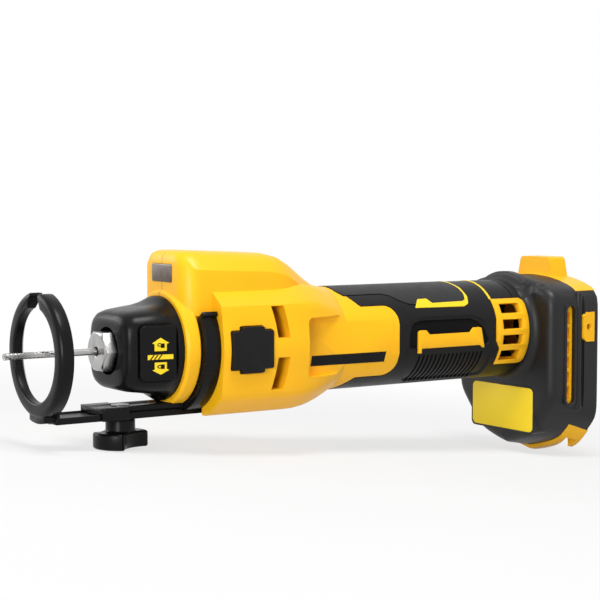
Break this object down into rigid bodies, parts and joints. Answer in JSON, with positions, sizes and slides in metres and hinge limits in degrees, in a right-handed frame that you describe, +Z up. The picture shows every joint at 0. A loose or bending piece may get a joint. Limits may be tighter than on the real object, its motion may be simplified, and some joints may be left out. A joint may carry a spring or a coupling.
{
  "type": "cordless drywall cut-out tool",
  "caption": "Hand held rotary cutter for drywall: round grip, raised head with lamp and switch pad, turning bit change collar, sliding ring depth guide and battery rail foot.",
  "frame": {"origin": "on the spindle axis, in the plane of the rear rail faces where a battery seats", "axes": "+X along the spindle to the nose, +Y to the tool's left side, +Z up"},
  "size_m": [0.3291, 0.079, 0.1163],
  "materials": {
    "yellow_plastic": "moulded satin",
    "soft_black": "soft moulded",
    "black_plastic": "satin",
    "black_metal": "satin paint",
    "steel": "turned",
    "motor_iron": "laminated",
    "copper": "enamelled wire",
    "brass": "plain",
    "circuit_board": "lacquered",
    "lamp_lens": "clear moulding"
  },
  "bodies": {
    "housing": {"housing_left": "yellow_plastic", "housing_right": "yellow_plastic", "rail_frame": "yellow_plastic", "vent_grille_left": "yellow_plastic", "vent_grille_right": "yellow_plastic", "side_strip_left": "yellow_plastic", "side_strip_right": "yellow_plastic", "hook_pad_left": "yellow_plastic", "hook_pad_right": "yellow_plastic", "grip_badge_left": "yellow_plastic", "grip_badge_right": "yellow_plastic", "rating_plate": "yellow_plastic", "grip_cover_left": "soft_black", "grip_cover_right": "soft_black", "foot_shell_left": "soft_black", "foot_shell_right": "soft_black", "nose_seal": "soft_black", "terminal_block": "black_plastic", "switch_module": "black_plastic", "guide_bracket": "black_metal", "clamp_stud": "black_metal", "front_bearing_outer": "steel", "rear_bearing_outer": "steel", "collar_clip": "steel", "housing_screws": "steel", "stator": "motor_iron", "stator_coils": "copper", "contact_blades": "brass", "lamp_board": "circuit_board", "control_board": "circuit_board", "lamp_window": "lamp_lens"},
    "spindle": {"spindle": "steel", "rotor": "motor_iron", "fan": "black_plastic", "front_bearing_inner": "steel", "rear_bearing_inner": "steel", "collet": "steel", "collet_nut": "steel", "cutting_bit": "steel"},
    "collar": {"bit_change_collar": "black_plastic", "collar_pad_left": "black_plastic", "collar_pad_right": "black_plastic"},
    "switch": {"switch_pad": "soft_black"},
    "guide": {"guide_ring": "black_plastic"},
    "knob": {"clamp_knob": "black_plastic", "knob_insert": "brass"}
  },
  "joints": [
    {"name": "spindle_spin", "type": "hinge", "parent": "housing", "child": "spindle", "pos_m": [0.2, 0, 0], "axis": [1, 0, 0], "continuous": true},
    {"name": "collar_turn", "type": "hinge", "parent": "housing", "child": "collar", "pos_m": [0.26, 0, 0], "axis": [1, 0, 0], "range_deg": [0, 40]},
    {"name": "switch_press", "type": "slide", "parent": "housing", "child": "switch", "axis": [0, -1, 0], "range_m": [0, 0.002], "stiffness_N_per_m": 1200},
    {"name": "guide_slide", "type": "slide", "parent": "housing", "child": "guide", "axis": [1, 0, 0], "range_m": [0, 0.03]},
    {"name": "knob_turn", "type": "hinge", "parent": "housing", "child": "knob", "pos_m": [0.27075, 0, -0.04], "axis": [0, 0, -1], "range_deg": [0, 360]}
  ]
}
